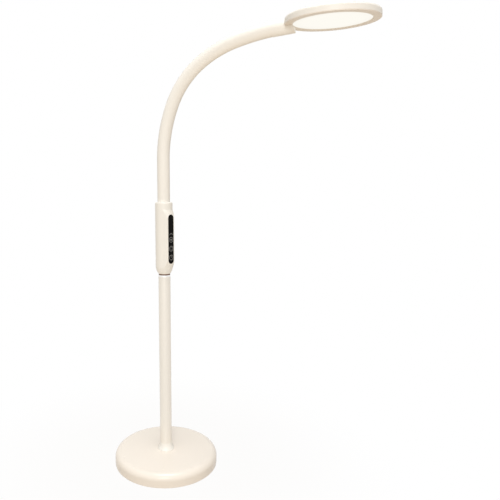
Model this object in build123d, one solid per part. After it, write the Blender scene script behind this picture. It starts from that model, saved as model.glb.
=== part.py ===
from build123d import *
import math
import os

# Gooseneck reading floor lamp, millimetres. Origin on the floor under the pole, +Z up,
# and the gooseneck bends in the XZ plane, towards +X, as it is set at rest.

# ---------------------------------------------------------------- driving dimensions
# Base
base_radius = 123.0
base_height = 31.0
base_edge_radius = 14.5
cover_wall = 2.0
cover_lift = 1.2            # the cover's rim above the floor
pad_thickness = 2.5
pad_setback = 11.0          # the pad's edge inside the base's edge
plate_thickness = 1.5
plate_clearance = 0.4       # plate to cover, and weight to cover
weight_thickness = 12.0
weight_setback = 11.0       # the weight's edge inside the base's edge
hub_radius = 30.0
base_screw_setback = 39.0   # the screws' circle inside the base's edge
base_screw_count = 4
base_screw_start = 45.0
base_screw_radius = 1.9
base_screw_head_radius = 3.4
base_screw_length = 9.5
screw_clearance = 0.05

# Hollow threaded pipe that ties base and pole, with its nut and washer
pipe_radius = 5.0
pipe_bore_radius = 3.5
pipe_clearance = 0.4
pipe_foot = 8.0             # the pipe's lower end above the plate
pipe_in_pole = 34.0
pipe_nut_flats = 17.0
pipe_nut_height = 6.0
pipe_washer_radius = 12.0
pipe_washer_thickness = 1.5
pipe_nut_setback = 1.5      # pipe shown below its nut
recess_radius = 14.0

# Power inlet in the back of the base
jack_width = 9.0
jack_height = 11.0
jack_depth = 14.0
jack_bore_radius = 2.75
jack_bore_depth = 9.5
jack_pin_radius = 1.05
jack_pin_length = 8.5
jack_clearance = 0.2
jack_flush = 5.0            # depth of the plug recess in front of the jack

# Leads
lead_radius = 1.6
lead_channel_width = 6.0
lead_channel_height = 6.0
lead_bend_radius = 9.0
lead_lift = 1.0             # the lead above the bottom plate

# Pole
pole_radius = 14.0
pole_wall = 1.2
pole_height = 426.0         # from the base's top to the tube's upper end
insert_fit = 0.05
insert_length = 36.0
thread_fit = 0.05
collar_foot_radius = 19.5
collar_top_radius = 14.6
collar_height = 17.0
collar_lip = 1.5
collar_clearance = 0.1

# Screwed joint between pole and touch column
band_height = 4.0           # light band on top of the tube
gasket_height = 3.0
gasket_radius = 13.1
stud_radius = 5.0
stud_bore_radius = 3.2
stud_length = 44.0
stud_in_column = 16.0

# Touch column
column_radius = 20.0
column_wall = 2.2
column_foot_radius = 13.8
column_taper_height = 18.0
column_floor = 19.0
cap_height = 9.0
cap_edge_radius = 2.5
cap_floor = 3.0             # floor of the cap's inner cup, under the gooseneck's end fitting
cap_fit = 0.1
socket_radius = 9.0
socket_flange_radius = 12.0
socket_flange_height = 2.0

# Boss and touch panel, facing away from the column's axis
panel_azimuth = -25.0
panel_face = 23.0           # from the column's axis to the panel's face
panel_width = 16.0
panel_length = 113.0
panel_thickness = 2.0
panel_proud = 0.3
panel_gap = 0.15
panel_above_foot = 25.0     # the panel's lower end above the column's lower end
panel_below_cap = 18.5      # the panel's upper end below the cap
boss_rim = 2.5              # beside the panel
boss_lead = 11.0            # the boss starts this far before the panel's ends
boss_ramp = 19.0            # length over which its corners rise from the column
boss_edge_radius = 2.5
window_width = 12.0
window_margin = 8.0
icon_height = 0.2
icon_line = 1.0
icon_radius = 6.2
icon_pitch = 20.5
icon_first = 14.5           # lowest icon above the panel's lower end
caret_rise = 15.3           # the caret's tip above the top icon's middle
caret_arm = 6.5
caret_turn = 50.0
ray_count = 6

# Board behind the panel
board_face = 9.6            # the board's front, from the column's axis
board_thickness = 1.6
board_width = 22.0
board_above_floor = 6.0
carrier_gap = 2.0           # carrier's top to the gooseneck's end fitting
rail_width = 5.0
rail_depth = 4.0
rail_bridge = 6.0
rail_margin = 1.0           # the rails' outer faces beside the board
chip_size = 8.0
chip_height = 1.6
terminal_size = 8.0
board_screw_radius = 1.2
board_screw_head_radius = 2.4
board_screw_head_height = 1.4
contact_radius = 3.0

# Gooseneck
neck_sleeve_radius = 14.25
neck_core_radius = 9.0
neck_bore_radius = 4.5
sleeve_fit = 0.3
neck_straight = 95.5
first_arc_length = 125.5
first_arc_turn = 22.0
second_arc_length = 111.0
second_arc_turn = 33.0
third_arc_length = 80.0
third_arc_turn = 19.2
last_arc_length = 80.5
last_arc_turn = 9.0
neck_joint_count = 8
knuckle_gap = 0.4
knuckle_setback = 4.5
segment_gap = 0.1
sleeve_in_cap = 6.0
cap_sleeve_clearance = 0.2
ferrule_radius = 13.4
ferrule_length = 30.0
ferrule_floor = 4.0
ferrule_fit = 0.05
ferrule_bore_radius = 5.0
ferrule_tail_radius = 8.0
ferrule_tail_spare = 2.0    # tail shown past its nut
ferrule_nut_flats = 22.0
ferrule_nut_height = 5.0

# Head
head_radius = 92.0
stem_length = 25.4          # from the sleeve's end to the disc's rim
head_nod = 6.5              # the disc leans down from the neck's last heading
head_roll = 4.2             # the disc leans sideways about its own line
head_thickness = 15.0
head_above_line = 2.6       # the disc's underside above the neck's line
head_wall = 2.2
head_edge_radius = 5.0
bezel_thickness = 2.2
bezel_lip = 1.8
bezel_edge_radius = 1.0
diffuser_opening_radius = 75.7
diffuser_overlap = 4.5
diffuser_thickness = 1.8
light_guide_thickness = 3.0
reflector_thickness = 0.4
back_plate_thickness = 1.0
back_plate_clearance = 0.5
led_strip_thickness = 0.4
led_count = 48
led_width = 3.0
led_depth = 1.0
led_gap = 0.2
led_tab_width = 6.0
led_tab_height = 7.4
led_tab_depth = 5.0
notch_clearance = 1.0
head_screw_count = 6
head_screw_start = 30.0
head_screw_setback = 6.0    # the screws' circle inside the disc's rim
head_screw_radius = 1.1
head_screw_head_radius = 2.3
head_screw_head_height = 1.2
head_screw_length = 4.6
head_boss_radius = 2.3
stem_nod = 2.0              # the stem leans down from the neck's last heading
stem_radius = 15.0
stem_bore_radius = 2.4
stem_fit = 0.1
lip_length = 40.0           # the stem's bar goes this far under the disc before its end is cut
lip_margin = 0.6            # the lip's end outside the diffuser's opening
lip_rake = 20.0             # slope of the lip's end, in degrees
spigot_radius = 4.2
spigot_clearance = 0.3
spigot_length = 3.4
head_ferrule_radius = 12.0
head_ferrule_setback = 11.4 # the fitting's end before the disc's rim
head_ferrule_end = 2.0
stem_lead_run = 3.0         # straight run of the lead past the fitting
stem_lead_bend = 4.5
stem_lead_setback = 2.0     # the lead is level with the spigot this far before the disc's rim

# ---------------------------------------------------------------- places worked out from them
pad_radius = base_radius - pad_setback
weight_radius = base_radius - weight_setback
base_screw_circle = base_radius - base_screw_setback
plate_z = pad_thickness
weight_z = plate_z + plate_thickness
cover_inner_z = base_height - cover_wall
pipe_foot_z = weight_z + pipe_foot
nut_z = pipe_foot_z + pipe_nut_setback
washer_z = nut_z + pipe_nut_height
recess_top_z = washer_z + pipe_washer_thickness
pole_top_z = base_height + pole_height
gasket_z = pole_top_z + band_height
column_z = gasket_z + gasket_height
column_height = panel_above_foot + panel_length + panel_below_cap + cap_height
column_top_z = column_z + column_height
cap_z = column_top_z - cap_height
column_floor_z = column_z + column_floor
column_inner_radius = column_radius - column_wall
pole_inner_radius = pole_radius - pole_wall
stud_top_z = column_z + stud_in_column
sleeve_inner_radius = neck_core_radius + sleeve_fit
neck_arcs = (
    (first_arc_length, first_arc_turn),
    (second_arc_length, second_arc_turn),
    (third_arc_length, third_arc_turn),
    (last_arc_length, last_arc_turn),
)
neck_elements = ((neck_straight, 0.0),) + neck_arcs
neck_length = sum(length for length, turn in neck_elements)
neck_pitch = neck_length / neck_joint_count
stations = [(k + 0.5) * neck_pitch for k in range(neck_joint_count)]
ferrule_top_z = column_top_z - sleeve_in_cap
ferrule_z = ferrule_top_z - ferrule_length
core_foot = ferrule_z + ferrule_floor - column_top_z
cap_foot_z = ferrule_z - cap_floor
ferrule_nut_z = cap_foot_z - ferrule_nut_height
up = (Align.CENTER, Align.CENTER, Align.MIN)


# ---------------------------------------------------------------- helpers
def rod(radius, low, high):
    """Solid round bar on the Z axis between two heights."""
    return Pos(0, 0, low) * Cylinder(radius, high - low, align=up)


def ring(outer, inner, low, high):
    """Round tube on the Z axis between two heights."""
    return rod(outer, low, high) - rod(inner, low - 1, high + 1)


def hex_nut(flats, bore, low, high):
    outline = RegularPolygon(flats / 2, 6, major_radius=False)
    return Pos(0, 0, low) * extrude(outline, high - low) - rod(bore, low - 1, high + 1)


def lathe(points):
    """Solid turned from an outline of (radius, height) corners."""
    outline = make_face(Polyline(*[(r, 0, z) for r, z in points], close=True))
    return revolve(outline, Axis.Z)


def around(count, radius, piece, start=0.0):
    """Copies of a piece on a circle about the Z axis."""
    step = 360 / count
    return [Rot(0, 0, start + i * step) * Pos(radius, 0, 0) * piece for i in range(count)]


def group(pieces):
    return Compound([solid for piece in pieces for solid in piece.solids()])


# ---------------------------------------------------------------- base
def base_cover():
    inner_edge = base_edge_radius - cover_wall
    outer = rod(base_radius, cover_lift, base_height)
    outer = fillet(outer.edges().group_by(Axis.Z)[-1], base_edge_radius)
    inner = rod(base_radius - cover_wall, cover_lift - 1, cover_inner_z)
    inner = fillet(inner.edges().group_by(Axis.Z)[-1], inner_edge)
    opening = Pos(-base_radius, 0, weight_z + jack_height / 2) * Box(
        4 * cover_wall, jack_width + 2 * jack_clearance, jack_height + 2 * jack_clearance
    )
    return outer - inner - rod(pipe_radius + pipe_clearance, 0, base_height + 1) - opening


def base_pad():
    return rod(pad_radius, 0, pad_thickness)


def base_bottom_plate():
    plate = rod(base_radius - cover_wall - plate_clearance, plate_z, weight_z)
    head = base_screw_head_radius + screw_clearance
    neck = base_screw_radius + screw_clearance
    hole = Pos(0, 0, plate_z + plate_thickness / 2) * Cone(head, neck, plate_thickness)
    for cut in around(base_screw_count, base_screw_circle, hole, base_screw_start):
        plate -= cut
    return plate


def base_screws():
    head = Pos(0, 0, plate_z + plate_thickness / 2) * Cone(
        base_screw_head_radius, base_screw_radius, plate_thickness
    )
    screw = head + rod(base_screw_radius, weight_z, weight_z + base_screw_length)
    return group(around(base_screw_count, base_screw_circle, screw, base_screw_start))


def base_weight():
    body = rod(weight_radius, weight_z, weight_z + weight_thickness)
    body += rod(hub_radius, weight_z + weight_thickness, cover_inner_z)
    body -= rod(pipe_radius + pipe_clearance, 0, base_height)
    body -= rod(recess_radius, 0, recess_top_z)
    hole = rod(base_screw_radius + screw_clearance, 0, weight_z + base_screw_length + 1)
    for cut in around(base_screw_count, base_screw_circle, hole, base_screw_start):
        body -= cut
    channel = Pos(-base_radius / 2, 0, weight_z) * Box(
        base_radius, lead_channel_width, lead_channel_height, align=up
    )
    pocket_length = weight_radius + jack_depth - base_radius + jack_flush + jack_clearance
    pocket = Pos(pocket_length / 2 - weight_radius - 1, 0, weight_z) * Box(
        pocket_length + 2, jack_width + 2 * jack_clearance, weight_thickness, align=up
    )
    return body - channel - pocket


def power_jack():
    front = -base_radius + jack_flush
    body = Pos(front + jack_depth / 2, 0, weight_z) * Box(jack_depth, jack_width, jack_height, align=up)
    middle = Pos(front, 0, weight_z + jack_height / 2) * Rot(0, 90, 0)
    body -= middle * rod(jack_bore_radius, -1, jack_bore_depth)
    pin_root = jack_bore_depth - jack_pin_length
    return body + middle * rod(jack_pin_radius, pin_root, jack_bore_depth)


def threaded_pipe():
    return ring(pipe_radius, pipe_bore_radius, pipe_foot_z, base_height + pipe_in_pole)


def pipe_nut():
    return hex_nut(pipe_nut_flats, pipe_radius + thread_fit, nut_z, washer_z)


def pipe_washer():
    return ring(pipe_washer_radius, pipe_radius + pipe_clearance, washer_z, recess_top_z)


# ---------------------------------------------------------------- pole
def pole_collar():
    """Collar that flares from the pole to the base's top."""
    bore = pole_radius + collar_clearance
    lip, high = base_height + collar_lip, base_height + collar_height
    flare = TangentArc((collar_top_radius, 0, high), (collar_foot_radius, 0, lip), tangent=(0, 0, -1))
    sides = Polyline((collar_foot_radius, 0, lip), (collar_foot_radius, 0, base_height),
                     (bore, 0, base_height), (bore, 0, high), (collar_top_radius, 0, high))
    return revolve(make_face([flare, *sides.edges()]), Axis.Z)


def pole_tube():
    return ring(pole_radius, pole_inner_radius, base_height, pole_top_z)


def pole_lower_insert():
    return ring(pole_inner_radius - insert_fit, pipe_radius + thread_fit, base_height,
                base_height + insert_length)


def pole_upper_insert():
    """Plug with the light band that shows on top of the tube."""
    bore = stud_radius + thread_fit
    plug = ring(pole_inner_radius - insert_fit, bore, pole_top_z - insert_length, pole_top_z)
    return plug + ring(pole_radius, bore, pole_top_z, gasket_z)


def joint_gasket():
    return ring(gasket_radius, stud_radius + collar_clearance, gasket_z, column_z)


def joint_stud():
    return ring(stud_radius, stud_bore_radius, stud_top_z - stud_length, stud_top_z)


# ---------------------------------------------------------------- touch column
def panel_side(piece):
    """Turns a piece built with its face towards +X to face the panel's way."""
    return Rot(0, 0, panel_azimuth) * piece


def stadium(length, width, low, high, x):
    """Upright outline with round ends, centred between two heights and facing +X."""
    return Plane(origin=(x, 0, (low + high) / 2), x_dir=(0, 1, 0), z_dir=(1, 0, 0)) * SlotOverall(
        length, width, rotation=90
    )


panel_z = column_z + panel_above_foot
panel_top_z = panel_z + panel_length
panel_back = panel_face + panel_proud - panel_thickness


def boss():
    """Raised bed of the panel: flat in front, tangent to the column, sloped at both ends."""
    half = panel_width / 2 + boss_rim
    reach = math.hypot(half, panel_face)
    tangent = math.atan2(half, panel_face) + math.acos(column_radius / reach)
    touch_x = column_radius * math.cos(tangent)
    touch_y = column_radius * math.sin(tangent)
    low, high = panel_z - boss_lead, panel_top_z + boss_lead
    section = Polygon((0, 0), (touch_x, -touch_y), (panel_face, -half), (panel_face, half),
                      (touch_x, touch_y), align=None)
    block = Pos(0, 0, low) * extrude(section, high - low)
    front = block.edges().filter_by(Axis.Z).group_by(Axis.X)[-1]
    block = fillet(front, boss_edge_radius)
    slopes = lathe([(0, low), (column_radius, low), (reach, low + boss_ramp), (reach, high - boss_ramp),
                    (column_radius, high), (0, high)])
    return block & slopes


def column_housing():
    neck_z = column_z + column_taper_height
    taper = TangentArc((column_radius, 0, neck_z), (column_foot_radius, 0, column_z), tangent=(0, 0, -1))
    sides = Polyline((column_foot_radius, 0, column_z), (0, 0, column_z), (0, 0, cap_z),
                     (column_radius, 0, cap_z), (column_radius, 0, neck_z))
    outer = revolve(make_face([taper, *sides.edges()]), Axis.Z)
    body = outer + panel_side(boss())
    body -= rod(column_inner_radius, column_floor_z, cap_z + 1)
    recess = extrude(stadium(panel_length + 2 * panel_gap, panel_width + 2 * panel_gap, panel_z,
                             panel_top_z, panel_back), panel_thickness + 1)
    window_length = panel_length - 2 * window_margin
    window = Pos(panel_back / 2, 0, (panel_z + panel_top_z) / 2) * Box(
        panel_back + 1, window_width, window_length
    )
    body -= panel_side(recess) + panel_side(window)
    body -= rod(socket_radius + insert_fit, column_z - 1, column_floor_z + 1)
    return body


def column_socket():
    """Threaded bush in the column's floor, which screws onto the stud."""
    bush = ring(socket_radius, stud_radius + thread_fit, column_z, column_floor_z)
    return bush + ring(socket_flange_radius, stud_radius + thread_fit, column_floor_z,
                       column_floor_z + socket_flange_height)


def column_cap():
    """Cap with an inner cup that holds the gooseneck's end fitting."""
    top = rod(column_radius, cap_z, column_top_z)
    top = fillet(top.edges().group_by(Axis.Z)[-1], cap_edge_radius)
    body = top + rod(column_inner_radius - cap_fit, cap_foot_z, cap_z)
    body -= rod(ferrule_radius + cap_fit, ferrule_z, ferrule_top_z)
    body -= rod(ferrule_tail_radius + cap_fit, cap_foot_z - 1, ferrule_z)
    return body - rod(neck_sleeve_radius + cap_sleeve_clearance, ferrule_top_z, column_top_z + 1)


def touch_panel():
    plate = stadium(panel_length, panel_width, panel_z, panel_top_z, panel_back)
    return panel_side(extrude(plate, panel_thickness))


def icon_plane(height):
    """Sketch plane on the panel's face, at a height above the panel's lower end."""
    return Plane(origin=(panel_face + panel_proud, 0, panel_z + height), x_dir=(0, 1, 0), z_dir=(1, 0, 0))


def icon_ring():
    return Circle(icon_radius) - Circle(icon_radius - icon_line)


def touch_icons():
    """Plain symbols: a caret over the top one, and rings with a bar, rays and a dot."""
    arm = Pos(0, -caret_arm / 2) * Rectangle(icon_line, caret_arm)
    caret = Pos(0, caret_rise) * (Rot(0, 0, caret_turn) * arm + Rot(0, 0, -caret_turn) * arm)
    bar = Pos(0, icon_radius / 2) * Rectangle(icon_line, icon_radius)
    ray = Pos(0, icon_radius / 2) * Rectangle(icon_line, icon_line)
    rays = [Rot(0, 0, i * 360 / ray_count) * ray for i in range(ray_count)]
    dot = Circle(icon_radius / 3)
    marks = [[icon_ring() + bar], [icon_ring()] + rays, [icon_ring(), dot]]
    solids = [extrude(icon_plane(icon_first + 2 * icon_pitch) * caret, icon_height)]
    for row, shapes in enumerate(marks):
        plane = icon_plane(icon_first + row * icon_pitch)
        solids += [extrude(plane * shape, icon_height) for shape in shapes]
    return panel_side(group(solids))


# ---------------------------------------------------------------- board
board_z = column_floor_z + board_above_floor
carrier_top_z = ferrule_nut_z - ferrule_tail_spare - carrier_gap
board_top_z = carrier_top_z - rail_bridge
board_length = board_top_z - board_z
board_back = board_face - board_thickness
rail_x = board_back - rail_depth


def board_carrier():
    """Two rails joined by bridges, standing on the column's floor."""
    low, high = column_floor_z, carrier_top_z
    height = high - low
    half = board_width / 2
    wide = board_width + 2 * rail_margin
    frame = Pos(rail_x + rail_depth / 2, 0, low) * Box(rail_depth, wide, height, align=up)
    inside = Pos(rail_x + rail_depth / 2, 0, low + rail_bridge) * Box(
        rail_depth + 2, 2 * (half - rail_width), height - 2 * rail_bridge, align=up
    )
    frame -= inside
    reach = 2 * column_inner_radius
    fins = Pos(rail_x + rail_depth / 2, 0, low) * Box(rail_depth, reach, height, align=up)
    fins -= Pos(0, 0, low) * Box(reach, wide, height, align=up)
    frame += fins & rod(column_inner_radius - cap_fit, low, high)
    return panel_side(frame - rod(socket_flange_radius + cap_fit, low - 1,
                                  low + socket_flange_height + cap_fit))


def control_board():
    board = Pos(board_back + board_thickness / 2, 0, board_z) * Box(
        board_thickness, board_width, board_length, align=up
    )
    for screw in board_screw_places():
        board -= screw * rod(board_screw_radius + screw_clearance, -board_width, board_width)
    return panel_side(board)


def board_screw_places():
    """Frames with +Z along the screws, from the board's face towards the rails."""
    offset = (board_width - rail_width) / 2
    heights = (board_z + rail_bridge, board_top_z - rail_bridge)
    return [Pos(board_face, y, z) * Rot(0, -90, 0) for y in (-offset, offset) for z in heights]


def board_screws():
    screws = []
    for place in board_screw_places():
        screw = rod(board_screw_head_radius, -board_screw_head_height, 0)
        screws.append(place * (screw + rod(board_screw_radius, 0, board_thickness)))
    return panel_side(group(screws))


def board_parts():
    """Driver chip and the two terminal blocks, on the board's back."""
    middle = (board_z + board_top_z) / 2
    chip = Pos(board_back - chip_height / 2, 0, middle) * Box(chip_height, chip_size, chip_size)
    depth = board_back + terminal_size / 2
    block = Box(depth, terminal_size, terminal_size)
    lower = Pos(board_back - depth / 2, 0, board_z + terminal_size / 2 + rail_bridge) * block
    upper = Pos(board_back - depth / 2, 0, board_top_z - terminal_size / 2 - rail_bridge) * block
    return panel_side(group([chip, lower, upper]))


def touch_contacts():
    """Spring contacts between the board and the panel's back, one behind each icon."""
    pins = []
    for row in range(3):
        height = panel_z + icon_first + row * icon_pitch
        pin = Pos(board_face, 0, height) * Rot(0, 90, 0) * rod(contact_radius, 0, panel_back - board_face)
        pins.append(pin)
    return panel_side(group(pins))


def supply_lead():
    """From the power jack, under the weight, up the pipe and the pole to the board."""
    start = -base_radius + jack_flush + jack_depth
    level = weight_z + lead_radius + lead_lift
    top = board_z + rail_bridge
    corner = (0, 0, level)
    path = FilletPolyline((start, 0, level), corner, (0, 0, top), radius=lead_bend_radius)
    section = Plane(origin=(start, 0, level), z_dir=(1, 0, 0)) * Circle(lead_radius)
    return sweep(section, path=path)


# ---------------------------------------------------------------- gooseneck
def neck_at(s):
    """Centre (x, z) and heading from vertical, in radians, s millimetres up from the column's top."""
    x, z, heading = 0.0, column_top_z + min(s, 0.0), 0.0
    left = max(s, 0.0)
    for length, turn in neck_elements:
        step = min(left, length)
        bend = math.radians(turn) * step / length
        chord = step * (math.sin(bend / 2) / (bend / 2) if bend else 1.0)
        x += chord * math.sin(heading + bend / 2)
        z += chord * math.cos(heading + bend / 2)
        heading += bend
        left -= step
    return x + left * math.sin(heading), z + left * math.cos(heading), heading


def neck_plane(s):
    x, z, heading = neck_at(s)
    return Plane(origin=(x, 0, z), x_dir=(math.cos(heading), 0, -math.sin(heading)),
                 z_dir=(math.sin(heading), 0, math.cos(heading)))


def neck_path(low, high):
    """The neck's centre line between two lengths: straight runs and tangent arcs."""
    breaks, edges, end = [low], [], 0.0
    for length, turn in ((0.0, 0.0),) + neck_elements:
        end += length
        if low < end < high:
            breaks.append(end)
    breaks.append(high)
    for a, b in zip(breaks, breaks[1:]):
        points = [neck_at(s) for s in (a, (a + b) / 2, b)]
        ends = [(x, 0, z) for x, z, heading in points]
        straight = abs(points[2][2] - points[0][2]) < 1e-9
        edges.append(Line(ends[0], ends[2]) if straight else ThreePointArc(*ends))
    return Wire([e.edge() if isinstance(e, Wire) else e for e in edges])


def neck_bar(radius, low, high):
    return sweep(neck_plane(low) * Circle(radius), path=neck_path(low, high))


def neck_tube(outer, inner, low, high):
    return neck_bar(outer, low, high) - neck_bar(inner, low, high)


def knuckle():
    """Round end of a core link, with its bore, on the plane of the joint."""
    crown = math.sqrt(neck_core_radius ** 2 - neck_bore_radius ** 2)
    half_way = math.radians(60)
    arc = ThreePointArc((neck_core_radius, 0, 0),
                        (neck_core_radius * math.sin(half_way), 0, neck_core_radius * math.cos(half_way)),
                        (neck_bore_radius, 0, crown))
    sides = Polyline((neck_bore_radius, 0, crown), (neck_bore_radius, 0, 0), (neck_core_radius, 0, 0))
    return revolve(make_face([arc, *sides.edges()]), Axis.Z)


def neck_core(index):
    """One rigid stretch of the steel gooseneck, with a cup below and a round knuckle above."""
    first, last = index == 0, index == neck_joint_count
    low = core_foot if first else stations[index - 1] + knuckle_setback
    high = neck_length + head_ferrule_grip if last else stations[index]
    core = neck_tube(neck_core_radius, neck_bore_radius, low, high)
    if not last:
        core += neck_plane(high).location * knuckle()
    if not first:
        core -= neck_plane(stations[index - 1]).location * Sphere(neck_core_radius + knuckle_gap)
    return core


def neck_sleeve(index):
    """The stretch of soft sleeve over one core link."""
    first, last = index == 0, index == neck_joint_count
    low = -sleeve_in_cap if first else stations[index - 1] + segment_gap / 2
    high = neck_length if last else stations[index] - segment_gap / 2
    return neck_tube(neck_sleeve_radius, sleeve_inner_radius, low, high)


def neck_lead():
    """The lead inside the gooseneck, from the board's upper block to the head's stem."""
    low = board_top_z - rail_bridge - column_top_z
    return neck_bar(lead_radius, low, neck_length + head_ferrule_length)


def neck_ferrule():
    """End fitting of the gooseneck, held in the cap by its nut."""
    cup = ring(ferrule_radius, neck_core_radius + ferrule_fit, ferrule_z + ferrule_floor, ferrule_top_z)
    floor = ring(ferrule_radius, ferrule_bore_radius, ferrule_z, ferrule_z + ferrule_floor)
    tail = ring(ferrule_tail_radius, ferrule_bore_radius, ferrule_nut_z - ferrule_tail_spare, ferrule_z)
    return cup + floor + tail


def ferrule_nut():
    return hex_nut(ferrule_nut_flats, ferrule_tail_radius + thread_fit, ferrule_nut_z, cap_foot_z)


# ---------------------------------------------------------------- head
head_reach = stem_length + head_radius


def head_plane():
    """Frame of the disc: origin at its middle, level with the sleeve's end, +X away from the neck, +Z its back."""
    x, z, heading = neck_at(neck_length)
    lean = heading + math.radians(head_nod)
    roll = math.radians(head_roll)
    out = Vector(math.sin(lean), 0, math.cos(lean))
    back = Vector(-math.cos(lean) * math.cos(roll), -math.sin(roll), math.sin(lean) * math.cos(roll))
    return Plane(origin=Vector(x, 0, z) + out * head_reach, x_dir=out, z_dir=back)


head_low = head_above_line
bezel_top = head_low + bezel_thickness
head_top = head_low + head_thickness
diffuser_low = head_low + bezel_lip
light_guide_low = diffuser_low + diffuser_thickness
reflector_low = light_guide_low + light_guide_thickness
back_plate_low = reflector_low + reflector_thickness
back_plate_top = back_plate_low + back_plate_thickness
optics_radius = diffuser_opening_radius + diffuser_overlap
strip_inner = optics_radius + led_gap + led_depth
strip_outer = strip_inner + led_strip_thickness
tab_face = strip_outer + led_tab_depth - led_strip_thickness / 2
head_inner_radius = head_radius - head_wall
head_screw_circle = head_radius - head_screw_setback
spigot_z = bezel_top + spigot_radius + spigot_clearance
head_ferrule_length = stem_length - head_ferrule_setback
head_ferrule_grip = head_ferrule_length - head_ferrule_end


def neck_line():
    """Frame in the disc's own frame: origin at the sleeve's end, +Z along the neck's last heading."""
    return head_plane().location.inverse() * neck_plane(neck_length).location


def spigot_bar(radius, before, after):
    """Bar through the disc's wall towards the neck, from outside the rim to inside it."""
    return Pos(-head_radius, 0, spigot_z) * Rot(0, 90, 0) * rod(radius, -before, after)


def head_room():
    """The room that the disc takes out of the stem, open above the disc."""
    room = rod(head_radius + stem_fit, head_low - stem_fit, head_top + stem_radius)
    return fillet(room.edges().group_by(Axis.Z)[0], bezel_edge_radius)


def lip_cut():
    """Cone round the disc's middle that ends the stem's lip beside the diffuser."""
    depth = 2 * stem_radius
    wide = diffuser_opening_radius + lip_margin
    narrow = wide - depth * math.tan(math.radians(lip_rake))
    return Pos(0, 0, head_low - depth / 2) * Cone(narrow, wide, depth)


def stem_lead(radius, before, after):
    """Bar along the lead's way, from the fitting's end up to the spigot and into the disc."""
    start = neck_line() * Pos(0, 0, head_ferrule_length - before)
    turn = neck_line() * Pos(0, 0, head_ferrule_length + stem_lead_run)
    corner = Vector(-head_radius - stem_lead_setback, 0, spigot_z)
    path = FilletPolyline(start.position, turn.position, corner, Vector(after, 0, spigot_z),
                          radius=stem_lead_bend)
    return sweep(Plane(start) * Circle(radius), path=path)


def head_housing():
    outer = rod(head_radius, bezel_top, head_top)
    outer = fillet(outer.edges().group_by(Axis.Z)[-1], head_edge_radius)
    inner = rod(head_inner_radius, bezel_top - 1, head_top - head_wall)
    inner = fillet(inner.edges().group_by(Axis.Z)[-1], head_edge_radius - head_wall)
    return outer - inner - spigot_bar(spigot_radius + stem_fit, 2 * head_wall, 2 * head_wall)


def head_bezel():
    body = ring(head_radius, optics_radius + stem_fit, head_low, bezel_top)
    body += ring(optics_radius + stem_fit, diffuser_opening_radius, head_low, diffuser_low)
    rim = body.edges().filter_by(GeomType.CIRCLE).group_by(Axis.Z)[0]
    body = fillet(rim, bezel_edge_radius)
    post = ring(head_boss_radius, head_screw_radius + screw_clearance, bezel_top, back_plate_low)
    for boss_post in around(head_screw_count, head_screw_circle, post, head_screw_start):
        body += boss_post
    return body


def diffuser():
    return rod(optics_radius, diffuser_low, light_guide_low)


def light_guide():
    return rod(optics_radius, light_guide_low, reflector_low)


def reflector_sheet():
    return rod(optics_radius, reflector_low, back_plate_low)


def led_strip():
    """Flexible strip round the light guide's edge, with its LEDs and its solder tab."""
    strip = ring(strip_outer, strip_inner, light_guide_low, reflector_low)
    led = Pos(-led_depth / 2, 0, light_guide_low) * Box(
        led_depth, led_width, light_guide_thickness, align=up
    )
    leds = around(led_count, strip_inner, led)
    tab = Pos(-strip_outer - led_tab_depth / 2 + led_strip_thickness / 2, 0, light_guide_low) * Box(
        led_tab_depth, led_tab_width, led_tab_height, align=up
    )
    return strip + leds + (tab - rod(strip_inner, light_guide_low - 1, light_guide_low + led_tab_height + 1))


def back_plate():
    plate = rod(head_inner_radius - back_plate_clearance, back_plate_low, back_plate_top)
    hole = rod(head_screw_radius + screw_clearance, back_plate_low - 1, back_plate_top + 1)
    for cut in around(head_screw_count, head_screw_circle, hole, head_screw_start):
        plate -= cut
    notch_depth = 2 * (head_radius - strip_inner + notch_clearance)
    notch_width = 2 * (spigot_radius + notch_clearance)
    return plate - Pos(-head_radius, 0, back_plate_low) * Box(
        notch_depth, notch_width, 2 * back_plate_thickness + 2
    )


def head_screws():
    screw = rod(head_screw_head_radius, back_plate_top, back_plate_top + head_screw_head_height)
    screw += rod(head_screw_radius, back_plate_top - head_screw_length, back_plate_top)
    return group(around(head_screw_count, head_screw_circle, screw, head_screw_start))


def head_stem():
    """Round stem on the neck's end fitting, with a lip under the disc's rim."""
    foot = stem_radius * math.tan(math.radians(stem_nod))
    bar = neck_line() * Rot(0, stem_nod, 0) * rod(stem_radius, -foot, stem_length + lip_length)
    body = bar - head_room() - lip_cut()
    body -= neck_line() * rod(2 * stem_radius, -4 * foot - 1, 0)
    body += spigot_bar(spigot_radius, head_wall, spigot_length)
    body -= neck_line() * rod(head_ferrule_radius + stem_fit, -1, head_ferrule_length)
    return body - stem_lead(stem_bore_radius, 1, 0)


def head_ferrule():
    cup = ring(head_ferrule_radius, neck_core_radius + ferrule_fit, 0, head_ferrule_grip)
    end = ring(head_ferrule_radius, stem_bore_radius, head_ferrule_grip, head_ferrule_length)
    return neck_line() * (cup + end)


def head_lead():
    """Last stretch of the lead, through the stem to the strip's tab."""
    return stem_lead(lead_radius, 0, -tab_face - stem_fit)


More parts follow.
